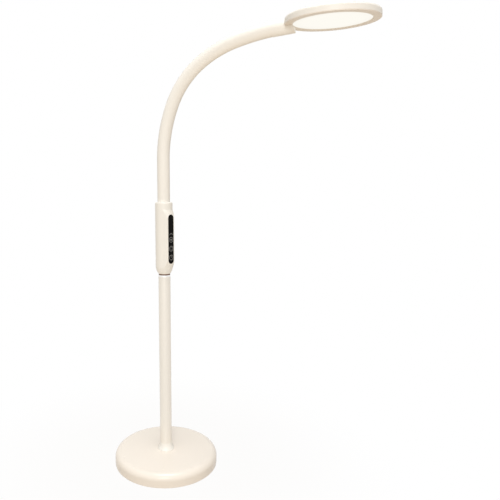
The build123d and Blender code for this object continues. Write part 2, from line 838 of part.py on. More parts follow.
# ---------------------------------------------------------------- the set of nodes
nodes = {
    "base_cover": base_cover(),
    "base_pad": base_pad(),
    "base_bottom_plate": base_bottom_plate(),
    "base_screws": base_screws(),
    "base_weight": base_weight(),
    "power_jack": power_jack(),
    "threaded_pipe": threaded_pipe(),
    "pipe_nut": pipe_nut(),
    "pipe_washer": pipe_washer(),
    "pole_collar": pole_collar(),
    "pole_tube": pole_tube(),
    "pole_lower_insert": pole_lower_insert(),
    "pole_upper_insert": pole_upper_insert(),
    "joint_gasket": joint_gasket(),
    "joint_stud": joint_stud(),
    "column_housing": column_housing(),
    "column_socket": column_socket(),
    "column_cap": column_cap(),
    "touch_panel": touch_panel(),
    "touch_icons": touch_icons(),
    "touch_contacts": touch_contacts(),
    "board_carrier": board_carrier(),
    "control_board": control_board(),
    "board_parts": board_parts(),
    "board_screws": board_screws(),
    "supply_lead": supply_lead(),
    "neck_ferrule": neck_ferrule(),
    "ferrule_nut": ferrule_nut(),
    "neck_lead": neck_lead(),
}
for link in range(neck_joint_count + 1):
    nodes[f"neck_core_{link}"] = neck_core(link)
    nodes[f"neck_sleeve_{link}"] = neck_sleeve(link)

head_pieces = {
    "head_stem": head_stem(),
    "head_ferrule": head_ferrule(),
    "head_housing": head_housing(),
    "head_bezel": head_bezel(),
    "diffuser": diffuser(),
    "light_guide": light_guide(),
    "reflector_sheet": reflector_sheet(),
    "led_strip": led_strip(),
    "back_plate": back_plate(),
    "head_screws": head_screws(),
    "head_lead": head_lead(),
}
for name, piece in head_pieces.items():
    nodes[name] = head_plane().location * piece

os.makedirs("parts", exist_ok=True)
for name, piece in nodes.items():
    export_step(piece, f"parts/{name}.step")
print("nodes", len(nodes), "neck length", neck_length, "pitch", round(neck_pitch, 2))
print("bend radii", [round(length / math.radians(turn)) for length, turn in neck_arcs])
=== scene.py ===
"""Gooseneck reading floor lamp: finishes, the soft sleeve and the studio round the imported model.

Lengths are metres, apart from those along the neck, which are millimetres until they are drawn.
The neck bends in the XZ plane, towards +X, as it is set at rest.
"""

import math

import bmesh
import bpy
from bpy.props import FloatProperty, FloatVectorProperty, IntProperty, PointerProperty
from mathutils import Matrix, Vector


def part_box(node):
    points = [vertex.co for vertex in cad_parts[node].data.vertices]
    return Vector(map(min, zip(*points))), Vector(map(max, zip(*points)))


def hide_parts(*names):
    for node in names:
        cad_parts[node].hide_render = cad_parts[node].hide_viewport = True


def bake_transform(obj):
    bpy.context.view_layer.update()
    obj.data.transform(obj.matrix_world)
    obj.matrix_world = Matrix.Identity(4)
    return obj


bl_info = {
    "name": "Gooseneck reading lamp",
    "version": (1, 0, 0),
    "blender": (4, 5, 0),
    "location": "View3D > Sidebar > Reading lamp",
    "description": "Finishes, sleeve and studio for a gooseneck reading floor lamp",
    "category": "Object",
}

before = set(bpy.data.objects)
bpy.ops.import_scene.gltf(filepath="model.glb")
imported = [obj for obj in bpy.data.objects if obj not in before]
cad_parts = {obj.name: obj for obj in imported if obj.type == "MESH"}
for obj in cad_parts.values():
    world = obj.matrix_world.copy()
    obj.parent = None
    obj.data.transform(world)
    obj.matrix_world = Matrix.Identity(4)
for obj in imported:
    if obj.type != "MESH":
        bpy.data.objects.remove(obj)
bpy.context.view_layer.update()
MM = 0.001

# The gooseneck's centre line from the column's cap: length in mm and turn in degrees of each run
NECK_RUNS = ((95.5, 0.0), (125.5, 22.0), (111.0, 33.0), (80.0, 19.2), (80.5, 9.0))
NECK_LENGTH = sum(length for length, turn in NECK_RUNS)
JOINTS = 8
PITCH = NECK_LENGTH / JOINTS
STATIONS = [(k + 0.5) * PITCH for k in range(JOINTS)]
BODIES = ["stand"] + [f"neck_{k}" for k in range(1, JOINTS)] + ["head"]
CAP_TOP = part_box("column_cap")[1][2] / MM

# Hinge whose list of bodies is turned round, far body first; nothing reads the list
FROM_FAR_BODY = 5
BLEND_MARGIN = 4.0      # mm in from each end of a stretch, where the points listed with its two bodies lie
LEAD_PAST_NECK = 14.0   # mm that the lead goes on into the stem's fitting
LEAD_POINTS = 16        # corners of each ring of the lead
SWEEP_STEP = 3.0        # mm between the rings of a tube, at most

# Faces that meet at less than this angle are shaded as one
SMOOTH_BELOW = math.radians(35.0)

# Distances from the diffuser's middle where its dimmer rim begins and ends
RIM_FROM, RIM_TO = 0.055, 0.0757

# Height of the grain on moulded, coated and turned surfaces
GRAIN_DEPTH = 0.00005

# The camera, as worked out from the photograph: turn of the neck's plane towards it, its aim
# to the side, down and its lean, in radians, and how far the picture is shifted in its frame
PLANE_TURN = math.radians(22.0)
CAMERA_YAW = math.radians(1.754)
CAMERA_PITCH = math.radians(7.69)
CAMERA_ROLL = -0.00546
LENS_SHIFT = 0.14
SENSOR_WIDTH = 36.0

# The studio: half the floor's side, distances from the pole between which its white becomes
# full, colour of the even light, and place, aim, width and colour of the two lights
FLOOR_HALF = 12.0
WHITE_FROM, WHITE_FULL = 0.15, 0.6
AMBIENT_COLOUR = (1.0, 0.99, 0.97)
TOP_LIGHT = {"place": (0.4, -0.8, 8.0), "target": (0.1, 0, 0), "size": 3.0,
             "colour": (1.0, 0.98, 0.96)}
FRONT_LIGHT = {"place": (0.7, -2.3, 1.3), "target": (0.1, 0, 0.45), "size": 0.9,
               "colour": (1.0, 0.99, 0.98)}


# ------------------------------------------------ sizes and colours that a user would change
def colour_property(name, description, default):
    return FloatVectorProperty(name=name, description=description, subtype="COLOR", size=3,
                               min=0, max=1, default=default)


def length_property(name, description, low, high, default):
    return FloatProperty(name=name, description=description, unit="LENGTH", min=low, max=high,
                         default=default, precision=5)


class LampFinishes(bpy.types.PropertyGroup):
    """Colours of the lamp's visible surfaces."""

    cream: colour_property("Cream plastic", "Moulded covers, column and bezel", (0.89, 0.825, 0.74))
    paint: colour_property("Cream paint", "Powder coat on the pole", (0.84, 0.775, 0.69))
    # Painted light: the cream made brighter, so the sleeve, stem and head shell look more strongly lit; the
    # bezel, of the same plastic as the shell, keeps the plain cream
    painted_light_cream: colour_property("Pale cream", "Sleeve of the gooseneck, stem and head shell", (0.95, 0.92, 0.86))
    band: colour_property("Light band", "Narrow bright band on top of the pole", (0.92, 0.90, 0.86))
    # Partly real, partly painted shade: a rubber ring's dark brown that also stands for the shade in the
    # gap between pole and column
    gasket_and_gap_shade: colour_property("Gap ring", "Brown ring under the touch column", (0.20, 0.11, 0.08))
    panel: colour_property("Touch panel", "Glossy black of the touch panel", (0.004, 0.0038, 0.0036))
    marks: colour_property("Symbols", "Grey print of the panel's symbols", (0.26, 0.26, 0.26))
    glow: colour_property("Glow", "Colour of the lit diffuser", (0.985, 0.96, 0.89))


class LampSizes(bpy.types.PropertyGroup):
    """Sizes of the pieces that are modelled here."""

    sleeve_radius: length_property("Sleeve radius", "Outside radius of the gooseneck's sleeve",
                                   0.010, 0.020, 0.01425)
    sleeve_wall: length_property("Sleeve wall", "Thickness of the sleeve", 0.0005, 0.004, 0.0016)
    sleeve_foot: length_property("Sleeve foot", "How far the sleeve goes into the cap", 0.0, 0.006, 0.006)
    lead_radius: length_property("Lead radius", "Radius of the lead inside the gooseneck",
                                 0.0005, 0.004, 0.0016)
    ring_points: IntProperty(
        name="Points round the sleeve", description="Corners of each ring of the sleeve",
        min=16, max=128, default=72,
    )


class LampStudio(bpy.types.PropertyGroup):
    """Floor, light and camera."""

    floor: colour_property("Floor", "Colour that the floor throws back at the lamp", (0.66, 0.58, 0.48))
    floor_white: FloatProperty(
        name="Floor white near the lamp",
        description="Share of plain white seen in the floor beside the lamp",
        subtype="FACTOR", min=0, max=1, default=0.94,
    )
    ambient: FloatProperty(
        name="Ambient", description="Strength of the even light from all round", min=0, max=3, default=0.42,
    )
    top_light: FloatProperty(
        name="Top light", description="Power of the broad light overhead", subtype="POWER", unit="POWER",
        min=0, max=900, default=330.0,
    )
    front_light: FloatProperty(
        name="Front light", description="Power of the soft light in front", subtype="POWER", unit="POWER",
        min=0, max=500, default=23.0,
    )
    camera_distance: length_property("Camera distance", "From the pole's axis, level", 0.5, 5, 1.1969)
    camera_height: length_property("Camera height", "Above the floor", 0.1, 3, 0.6801)
    lens: FloatProperty(
        name="Lens", description="Focal length on a 36 mm sensor", min=10, max=200, default=37.44,
    )


# ------------------------------------------------ shared shader groups
def new_group(name, inputs, outputs):
    group = bpy.data.node_groups.new(name, "ShaderNodeTree")
    for socket, kind, value in inputs:
        item = group.interface.new_socket(name=socket, in_out="INPUT", socket_type=kind)
        item.default_value = value
    for socket, kind in outputs:
        group.interface.new_socket(name=socket, in_out="OUTPUT", socket_type=kind)
    start = group.nodes.new("NodeGroupInput")
    end = group.nodes.new("NodeGroupOutput")
    return group, start, end


def noise(tree, coordinate, scale, detail, roughness=0.5):
    """A noise from 0 to 1."""
    node = tree.nodes.new("ShaderNodeTexNoise")
    node.inputs["Scale"].default_value = scale
    node.inputs["Detail"].default_value = detail
    node.inputs["Roughness"].default_value = roughness
    tree.links.new(coordinate, node.inputs["Vector"])
    return node.outputs["Fac"]


def cells(tree, coordinate, scale, randomness=1.0):
    """Distance to the nearest of many points, evenly laid or scattered."""
    node = tree.nodes.new("ShaderNodeTexVoronoi")
    node.inputs["Scale"].default_value = scale
    node.inputs["Randomness"].default_value = randomness
    tree.links.new(coordinate, node.inputs["Vector"])
    return node.outputs["Distance"]


def reach(tree, vector, near, far):
    """The map range node that goes from 0 to 1 between two distances from the origin."""
    distance = tree.nodes.new("ShaderNodeVectorMath")
    distance.operation = "LENGTH"
    tree.links.new(vector, distance.inputs[0])
    node = tree.nodes.new("ShaderNodeMapRange")
    node.inputs["From Min"].default_value = near
    node.inputs["From Max"].default_value = far
    tree.links.new(distance.outputs["Value"], node.inputs["Value"])
    return node


def calculated(tree, operation, first, second):
    """Two values put together and kept between 0 and 1."""
    node = tree.nodes.new("ShaderNodeMath")
    node.operation = operation
    node.use_clamp = True
    tree.links.new(first, node.inputs[0])
    tree.links.new(second, node.inputs[1])
    return node.outputs["Value"]


def chosen(tree, factor, first, second, output):
    """Sends one of two shaders, or a share of both, to a material's or world's output node."""
    node = tree.nodes.new("ShaderNodeMixShader")
    for source, socket in zip((factor, first, second), node.inputs):
        tree.links.new(source, socket)
    tree.links.new(node.outputs["Shader"], tree.nodes[output].inputs["Surface"])


def ranged(tree, source, low, high):
    """Turns a 0 to 1 mask into a value between low and high."""
    node = tree.nodes.new("ShaderNodeMapRange")
    for socket, value in (("To Min", low), ("To Max", high)):
        if isinstance(value, (int, float)):
            node.inputs[socket].default_value = value
        else:
            tree.links.new(value, node.inputs[socket])
    tree.links.new(source, node.inputs["Value"])
    return node.outputs["Result"]


def mixed(tree, factor, first, second):
    """Colour mix; each colour is a socket or three numbers."""
    node = tree.nodes.new("ShaderNodeMix")
    node.data_type = "RGBA"
    tree.links.new(factor, node.inputs["Factor"])
    for socket, value in (("A", first), ("B", second)):
        target = [s for s in node.inputs if s.name == socket and s.type == "RGBA"][0]
        if isinstance(value, bpy.types.NodeSocket):
            tree.links.new(value, target)
        else:
            target.default_value = (*value, 1.0)
    return [s for s in node.outputs if s.type == "RGBA"][0]


def build_mould_grain():
    """Fine texture of a moulded or coated surface, with faint cloudy change of colour and gloss."""
    group, start, end = new_group(
        "mould_grain",
        [("Vector", "NodeSocketVector", (0, 0, 0)), ("Colour", "NodeSocketColor", (0.8, 0.8, 0.8, 1)),
         ("Second Colour", "NodeSocketColor", (0.7, 0.7, 0.7, 1)), ("Gloss Low", "NodeSocketFloat", 0.3),
         ("Gloss High", "NodeSocketFloat", 0.4)],
        [("Colour", "NodeSocketColor"), ("Roughness", "NodeSocketFloat"), ("Height", "NodeSocketFloat")],
    )
    cloud = noise(group, start.outputs["Vector"], 14.0, 3.0)
    fine = noise(group, start.outputs["Vector"], 2600.0, 2.0)
    smudge = noise(group, start.outputs["Vector"], 60.0, 5.0, 0.6)
    cloud_mask = ranged(group, cloud, 0.0, 0.6)
    colour = mixed(group, cloud_mask, start.outputs["Colour"], start.outputs["Second Colour"])
    group.links.new(colour, end.inputs["Colour"])
    gloss = ranged(group, smudge, start.outputs["Gloss Low"], start.outputs["Gloss High"])
    group.links.new(gloss, end.inputs["Roughness"])
    group.links.new(fine, end.inputs["Height"])


def build_turned_metal():
    """Fine rings left by turning or drawing, along one axis, with small scratches."""
    group, start, end = new_group(
        "turned_metal",
        [("Vector", "NodeSocketVector", (0, 0, 0)), ("Colour", "NodeSocketColor", (0.6, 0.6, 0.6, 1)),
         ("Second Colour", "NodeSocketColor", (0.5, 0.5, 0.5, 1)), ("Gloss Low", "NodeSocketFloat", 0.25),
         ("Gloss High", "NodeSocketFloat", 0.45)],
        [("Colour", "NodeSocketColor"), ("Roughness", "NodeSocketFloat"), ("Height", "NodeSocketFloat")],
    )
    stretch = group.nodes.new("ShaderNodeMapping")
    stretch.inputs["Scale"].default_value = (30, 30, 2400)
    group.links.new(start.outputs["Vector"], stretch.inputs["Vector"])
    rings = noise(group, stretch.outputs["Vector"], 1.0, 3.0)
    patches = noise(group, start.outputs["Vector"], 90.0, 4.0, 0.6)
    colour = mixed(group, patches, start.outputs["Colour"], start.outputs["Second Colour"])
    group.links.new(colour, end.inputs["Colour"])
    gloss = ranged(group, rings, start.outputs["Gloss Low"], start.outputs["Gloss High"])
    group.links.new(gloss, end.inputs["Roughness"])
    group.links.new(rings, end.inputs["Height"])


# ------------------------------------------------ materials
def material(name):
    """A new material's node tree, its shader and the object's own coordinates."""
    made = bpy.data.materials.new(name)
    made.use_nodes = True
    tree = made.node_tree
    shader = tree.nodes["Principled BSDF"]
    coordinate = tree.nodes.new("ShaderNodeTexCoord").outputs["Object"]
    return tree, shader, coordinate


def add_bump(tree, shader, height, strength, distance):
    bump = tree.nodes.new("ShaderNodeBump")
    bump.inputs["Strength"].default_value = strength
    bump.inputs["Distance"].default_value = distance
    tree.links.new(height, bump.inputs["Height"])
    tree.links.new(bump.outputs["Normal"], shader.inputs["Normal"])


def grained(name, group_name, colour, other, gloss, metallic=0.0, bump=0.12, specular=0.5):
    """A material whose colour, gloss and bump come from one of the shared groups."""
    tree, shader, coordinate = material(name)
    group = tree.nodes.new("ShaderNodeGroup")
    group.node_tree = bpy.data.node_groups[group_name]
    tree.links.new(coordinate, group.inputs["Vector"])
    group.inputs["Colour"].default_value = (*colour, 1)
    group.inputs["Second Colour"].default_value = (*other, 1)
    group.inputs["Gloss Low"].default_value = gloss[0]
    group.inputs["Gloss High"].default_value = gloss[1]
    tree.links.new(group.outputs["Colour"], shader.inputs["Base Color"])
    tree.links.new(group.outputs["Roughness"], shader.inputs["Roughness"])
    shader.inputs["Metallic"].default_value = metallic
    shader.inputs["Specular IOR Level"].default_value = specular
    add_bump(tree, shader, group.outputs["Height"], bump, GRAIN_DEPTH)


def shade(colour, factor):
    return tuple(min(1.0, c * factor) for c in colour)


def glowing_diffuser(colour):
    """Opal sheet lit from its edge: a little dimmer at the rim, with a faint dot pattern behind it."""
    tree, shader, coordinate = material("glowing_diffuser")
    low, high = (Vector(c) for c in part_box("diffuser"))
    middle = (low + high) / 2
    centre = tree.nodes.new("ShaderNodeMapping")
    centre.vector_type = "POINT"
    centre.inputs["Location"].default_value = -middle
    tree.links.new(coordinate, centre.inputs["Vector"])
    rim = reach(tree, centre.outputs["Vector"], RIM_FROM, RIM_TO)
    dots = ranged(tree, cells(tree, coordinate, 260.0, 0.1), 0.0, 0.25)
    dotted = mixed(tree, dots, colour, shade(colour, 0.985))
    glow = mixed(tree, rim.outputs["Result"], dotted, shade(colour, 0.97))
    tree.links.new(glow, shader.inputs["Emission Color"])
    shader.inputs["Emission Strength"].default_value = 1.0
    shader.inputs["Base Color"].default_value = (0.01, 0.01, 0.01, 1)
    shader.inputs["Roughness"].default_value = 0.6
    shader.inputs["Specular IOR Level"].default_value = 0.0
    add_bump(tree, shader, noise(tree, coordinate, 1800.0, 2.0), 0.1, 0.00004)


def touch_glass(colour):
    """Glossy black cover with a faint haze of finger marks."""
    tree, shader, coordinate = material("touch_glass")
    marks = noise(tree, coordinate, 130.0, 6.0, 0.65)
    tree.links.new(mixed(tree, marks, colour, shade(colour, 1.7)), shader.inputs["Base Color"])
    tree.links.new(ranged(tree, marks, 0.06, 0.2), shader.inputs["Roughness"])
    shader.inputs["Specular IOR Level"].default_value = 0.05
    add_bump(tree, shader, noise(tree, coordinate, 900.0, 2.0), 0.03, 0.00003)


def rough_casting():
    """Grey iron casting: sandy skin with darker pits."""
    tree, shader, coordinate = material("iron_casting")
    sand = noise(tree, coordinate, 420.0, 6.0, 0.7)
    pits = cells(tree, coordinate, 160.0)
    colour = mixed(tree, sand, (0.05, 0.05, 0.053), (0.16, 0.155, 0.15))
    tree.links.new(colour, shader.inputs["Base Color"])
    tree.links.new(ranged(tree, pits, 0.85, 0.55), shader.inputs["Roughness"])
    shader.inputs["Metallic"].default_value = 0.75
    add_bump(tree, shader, sand, 0.7, 0.0004)


def foam_pad():
    """Dark closed-cell foam."""
    tree, shader, coordinate = material("foam_pad")
    foam = cells(tree, coordinate, 900.0)
    colour = mixed(tree, foam, (0.012, 0.012, 0.012), (0.05, 0.05, 0.05))
    tree.links.new(colour, shader.inputs["Base Color"])
    tree.links.new(ranged(tree, foam, 0.95, 0.8), shader.inputs["Roughness"])
    add_bump(tree, shader, foam, 0.6, 0.0003)


def circuit_board():
    """Green solder mask with paler tracks under it."""
    tree, shader, coordinate = material("circuit_board")
    tracks = tree.nodes.new("ShaderNodeTexBrick")
    tracks.inputs["Scale"].default_value = 120.0
    tracks.inputs["Mortar Size"].default_value = 0.06
    tracks.inputs["Color1"].default_value = (0.010, 0.085, 0.035, 1)
    tracks.inputs["Color2"].default_value = (0.012, 0.100, 0.042, 1)
    tracks.inputs["Mortar"].default_value = (0.030, 0.190, 0.080, 1)
    turn = tree.nodes.new("ShaderNodeMapping")
    turn.inputs["Rotation"].default_value = (math.radians(90), 0, 0)
    tree.links.new(coordinate, turn.inputs["Vector"])
    tree.links.new(turn.outputs["Vector"], tracks.inputs["Vector"])
    tree.links.new(tracks.outputs["Color"], shader.inputs["Base Color"])
    tree.links.new(ranged(tree, tracks.outputs["Fac"], 0.28, 0.4), shader.inputs["Roughness"])
    add_bump(tree, shader, tracks.outputs["Fac"], 0.3, 0.00004)


def light_sheet():
    """Clear acrylic with the fine dots that turn its light out."""
    tree, shader, coordinate = material("light_sheet")
    dots = cells(tree, coordinate, 320.0, 0.05)
    step = tree.nodes.new("ShaderNodeValToRGB")
    step.color_ramp.elements[0].position = 0.22
    step.color_ramp.elements[0].color = (0.95, 0.95, 0.93, 1)
    step.color_ramp.elements[1].position = 0.3
    step.color_ramp.elements[1].color = (0.70, 0.74, 0.74, 1)
    tree.links.new(dots, step.inputs["Fac"])
    tree.links.new(step.outputs["Color"], shader.inputs["Base Color"])
    shader.inputs["Roughness"].default_value = 0.08
    shader.inputs["Coat Weight"].default_value = 0.5
    add_bump(tree, shader, dots, 0.15, 0.00005)


def build_materials():
    """Makes every finish of the lamp once, by name."""
    finish = bpy.context.scene.lamp_finishes
    build_mould_grain()
    build_turned_metal()
    for name, colour, cloud, gloss, bump, specular in (
        ("cream_gloss", finish.cream, 0.985, (0.22, 0.30), 0.05, 0.3),
        ("cream_plastic", finish.cream, 0.985, (0.34, 0.42), 0.06, 0.2),
        ("cream_paint", finish.paint, 0.985, (0.36, 0.46), 0.10, 0.2),
        ("cream_bezel", finish.cream, 0.98, (0.4, 0.5), 0.06, 0.2),
        # Painted light: the next two finishes take the cream made brighter, for the head's stem and shell
        # and for the sleeve
        ("pale_plastic", finish.painted_light_cream, 0.985, (0.34, 0.42), 0.06, 0.2),
        ("silicone_sleeve", finish.painted_light_cream, 0.975, (0.50, 0.62), 0.12, 0.15),
        # Partly painted shade: the gap ring's dark brown also stands for the shade in the gap
        ("gap_rubber", finish.gasket_and_gap_shade, 0.8, (0.6, 0.75), 0.12, 0.1),
        ("symbol_print", finish.marks, 0.9, (0.5, 0.6), 0.12, 0.1),
    ):
        grained(name, "mould_grain", tuple(colour), shade(colour, cloud), gloss, bump=bump,
                specular=specular)
    grained("light_band", "turned_metal", tuple(finish.band), shade(finish.band, 0.97), (0.22, 0.3),
            0.2, 0.05)
    grained("black_moulding", "mould_grain", (0.018, 0.018, 0.019), (0.026, 0.026, 0.027), (0.45, 0.6))
    grained("zinc_steel", "turned_metal", (0.52, 0.52, 0.50), (0.44, 0.43, 0.40), (0.25, 0.42), 1.0)
    grained("neck_steel", "turned_metal", (0.36, 0.36, 0.37), (0.28, 0.28, 0.29), (0.28, 0.45), 1.0, 0.4)
    grained("raw_aluminium", "turned_metal", (0.72, 0.73, 0.74), (0.64, 0.65, 0.66), (0.28, 0.42), 1.0)
    grained("turned_brass", "turned_metal", (0.62, 0.46, 0.18), (0.50, 0.36, 0.14), (0.2, 0.36), 1.0)
    grained("lead_jacket", "mould_grain", (0.55, 0.54, 0.52), (0.48, 0.47, 0.45), (0.45, 0.6))
    grained("reflector_film", "mould_grain", (0.88, 0.88, 0.87), (0.84, 0.84, 0.83), (0.3, 0.45))
    grained("strip_film", "mould_grain", (0.80, 0.74, 0.42), (0.88, 0.86, 0.78), (0.35, 0.5))
    glowing_diffuser(tuple(finish.glow))
    touch_glass(tuple(finish.panel))
    rough_casting()
    foam_pad()
    circuit_board()
    light_sheet()


def finish_nodes(finishes):
    """Gives each CAD node its material."""
    for finish, nodes in finishes.items():
        for node in nodes:
            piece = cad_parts[node]
            piece.data.materials.clear()
            piece.data.materials.append(bpy.data.materials[finish])


# ------------------------------------------------ gooseneck line
def neck_at(s):
    """Centre and heading from vertical, s millimetres up from the cap's top."""
    x, z, heading = 0.0, CAP_TOP + min(s, 0.0), 0.0
    left = max(s, 0.0)
    for length, turn in NECK_RUNS:
        step = min(left, length)
        bend = math.radians(turn) * step / length
        chord = step * (math.sin(bend / 2) / (bend / 2) if bend else 1.0)
        x += chord * math.sin(heading + bend / 2)
        z += chord * math.cos(heading + bend / 2)
        heading += bend
        left -= step
    return Vector((x + left * math.sin(heading), 0, z + left * math.cos(heading))) * MM, heading


def neck_runs_between(low, high):
    """The straight runs and arcs of the neck between two lengths, as start and end lengths."""
    ends, total = [low], 0.0
    for length, turn in NECK_RUNS:
        if low < total < high:
            ends.append(total)
        total += length
    return list(zip(ends, ends[1:] + [high]))


def ring_edges(bm, s, radius, count):
    """A ring of edges across the neck's line."""
    point, heading = neck_at(s)
    place = Matrix.Translation(point) @ Matrix.Rotation(heading, 4, "Y")
    made = bmesh.ops.create_circle(bm, cap_ends=False, segments=count, radius=radius, matrix=place)
    return list({edge for vert in made["verts"] for edge in vert.link_edges})


def sweep_ring(bm, edges, low, high):
    """Carries a ring along the neck's line, and returns the ring at its far end."""
    for a, b in neck_runs_between(low, high):
        (start, first), (end, last) = neck_at(a), neck_at(b)
        steps = max(1, math.ceil((b - a) / SWEEP_STEP))
        if abs(last - first) < 1e-9:
            for _ in range(steps):
                made = bmesh.ops.extrude_edge_only(bm, edges=edges)["geom"]
                verts = [g for g in made if isinstance(g, bmesh.types.BMVert)]
                edges = [g for g in made if isinstance(g, bmesh.types.BMEdge)]
                bmesh.ops.translate(bm, verts=verts, vec=(end - start) / steps)
            continue
        radius = (b - a) * MM / (last - first)
        centre = start + radius * Vector((math.cos(first), 0, -math.sin(first)))
        made = bmesh.ops.spin(bm, geom=edges, cent=centre, axis=(0, 1, 0), angle=last - first,
                              steps=steps, use_duplicate=False)
        edges = [g for g in made["geom_last"] if isinstance(g, bmesh.types.BMEdge)]
    return edges


def tube_piece(name, low, high, radius, inner, finish, count):
    """A closed tube along the neck's line between two lengths."""
    bm = bmesh.new()
    outside_low = ring_edges(bm, low, radius, count)
    outside_high = sweep_ring(bm, outside_low, low, high)
    if inner:
        inside_low = ring_edges(bm, low, inner, count)
        inside_high = sweep_ring(bm, inside_low, low, high)
        bmesh.ops.bridge_loops(bm, edges=outside_low + inside_low)
        bmesh.ops.bridge_loops(bm, edges=outside_high + inside_high)
    else:
        bmesh.ops.holes_fill(bm, edges=outside_low + outside_high)
    bmesh.ops.remove_doubles(bm, verts=bm.verts, dist=1e-6)
    bmesh.ops.recalc_face_normals(bm, faces=bm.faces)
    return finished(bm, name, finish)


def finished(bm, name, finish):
    """Turns a bmesh into an object with smooth shading and sharp edges where faces meet steeply."""
    for face in bm.faces:
        face.smooth = True
    for edge in bm.edges:
        edge.smooth = not edge.is_manifold or edge.calc_face_angle(0.0) < SMOOTH_BELOW
    mesh = bpy.data.meshes.new(name)
    bm.to_mesh(mesh)
    bm.free()
    piece = bpy.data.objects.new(name, mesh)
    bpy.context.scene.collection.objects.link(piece)
    mesh.materials.append(bpy.data.materials[finish])
    return piece


def link_middles(foot):
    """Lengths where one stretch of tube ends and the next begins: the middle of each link."""
    middles = [(a + b) / 2 for a, b in zip(STATIONS, STATIONS[1:])]
    return [-foot] + middles + [NECK_LENGTH]


def blended_tubes(prefix, foot, far, radius, inner, finish, count, replaced):
    """One tube for each hinge of the neck, reaching between the two bodies that the hinge joins."""
    ends = link_middles(foot)
    for k in range(JOINTS):
        low, high = ends[k], ends[k + 1]
        if k == JOINTS - 1:
            high += far
        piece = tube_piece(f"{prefix}_{k + 1}", low, high, radius, inner, finish, count)
        start = neck_at(max(ends[k], 0.0) + BLEND_MARGIN)[0]
        end = neck_at(ends[k + 1] - BLEND_MARGIN)[0]
        ways = [(BODIES[k], tuple(start)), (BODIES[k + 1], tuple(end))]
        if k + 1 == FROM_FAR_BODY:
            ways.reverse()
        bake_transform(piece)
        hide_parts(*replaced(k))


# ------------------------------------------------ operators
class LAMP_OT_camera(bpy.types.Operator):
    """Place the camera where the lamp is seen from a little above, with the neck leaning towards it"""

    bl_idname = "lamp.camera"
    bl_label = "Camera"

    def execute(self, context):
        studio = context.scene.lamp_studio
        yaw, pitch, roll = CAMERA_YAW - PLANE_TURN, CAMERA_PITCH, CAMERA_ROLL
        level = Vector((math.sin(yaw), math.cos(yaw), 0))
        forward = level * math.cos(pitch) - Vector((0, 0, math.sin(pitch)))
        right = Vector((math.cos(yaw), -math.sin(yaw), 0))
        up = right.cross(forward)
        across = math.cos(roll) * right + math.sin(roll) * up
        over = math.cos(roll) * up - math.sin(roll) * right
        lens = bpy.data.cameras.new("studio_camera")
        lens.sensor_fit = "HORIZONTAL"
        lens.sensor_width = SENSOR_WIDTH
        lens.lens = studio.lens
        lens.shift_x = LENS_SHIFT
        lens.clip_start, lens.clip_end = 0.02, 50.0
        camera = bpy.data.objects.new("studio_camera", lens)
        context.scene.collection.objects.link(camera)
        turn = Matrix((across, over, -forward)).transposed().to_4x4()
        place = Vector((studio.camera_distance * math.sin(PLANE_TURN),
                        -studio.camera_distance * math.cos(PLANE_TURN), studio.camera_height))
        camera.matrix_world = Matrix.Translation(place) @ turn
        context.scene.camera = camera
        return {"FINISHED"}


class LAMP_OT_materials(bpy.types.Operator):
    """Make every finish of the lamp"""

    bl_idname = "lamp.materials"
    bl_label = "Finishes"

    def execute(self, context):
        build_materials()
        return {"FINISHED"}


class LAMP_OT_base(bpy.types.Operator):
    """Finish the base: cover, collar, weight, plate, pad, inlet and the pieces that tie them"""

    bl_idname = "lamp.base"
    bl_label = "Base"

    def execute(self, context):
        finish_nodes({
            "cream_gloss": ["base_cover"],
            "cream_plastic": ["pole_collar"],
            "foam_pad": ["base_pad"],
            "iron_casting": ["base_weight"],
            "zinc_steel": ["base_bottom_plate", "base_screws", "threaded_pipe", "pipe_nut",
                           "pipe_washer"],
            "black_moulding": ["power_jack"],
            "lead_jacket": ["supply_lead"],
        })
        return {"FINISHED"}


class LAMP_OT_pole(bpy.types.Operator):
    """Finish the pole, its inserts and the screwed joint above it"""

    bl_idname = "lamp.pole"
    bl_label = "Pole"

    def execute(self, context):
        finish_nodes({
            "cream_paint": ["pole_tube"],
            "raw_aluminium": ["pole_lower_insert"],
            "light_band": ["pole_upper_insert"],
            # Partly painted shade: the ring's dark brown also stands for the shade in the gap between pole
            # and column
            "gap_rubber": ["joint_gasket"],
            "zinc_steel": ["joint_stud"],
        })
        return {"FINISHED"}


class LAMP_OT_column(bpy.types.Operator):
    """Finish the touch column with its panel, symbols and board"""

    bl_idname = "lamp.column"
    bl_label = "Touch column"

    def execute(self, context):
        finish_nodes({
            "cream_plastic": ["column_housing", "column_cap"],
            "turned_brass": ["column_socket", "touch_contacts"],
            "touch_glass": ["touch_panel"],
            "symbol_print": ["touch_icons"],
            "black_moulding": ["board_carrier", "board_parts"],
            "circuit_board": ["control_board"],
            "zinc_steel": ["board_screws", "neck_ferrule", "ferrule_nut"],
        })
        return {"FINISHED"}


class LAMP_OT_neck_core(bpy.types.Operator):
    """Finish the steel core of the gooseneck"""

    bl_idname = "lamp.neck_core"
    bl_label = "Gooseneck core"

    def execute(self, context):
        finish_nodes({"neck_steel": [f"neck_core_{k}" for k in range(JOINTS + 1)]})
        return {"FINISHED"}


class LAMP_OT_sleeve(bpy.types.Operator):
    """Draw the soft sleeve over the gooseneck, in one piece for each hinge"""

    bl_idname = "lamp.sleeve"
    bl_label = "Gooseneck sleeve"

    def execute(self, context):
        size = context.scene.lamp_sizes

        def replaced(k):
            return [f"neck_sleeve_{k}"] + ([f"neck_sleeve_{k + 1}"] if k == JOINTS - 1 else [])

        blended_tubes("sleeve", size.sleeve_foot / MM, 0.0, size.sleeve_radius,
                      size.sleeve_radius - size.sleeve_wall, "silicone_sleeve",
                      size.ring_points, replaced)
        return {"FINISHED"}


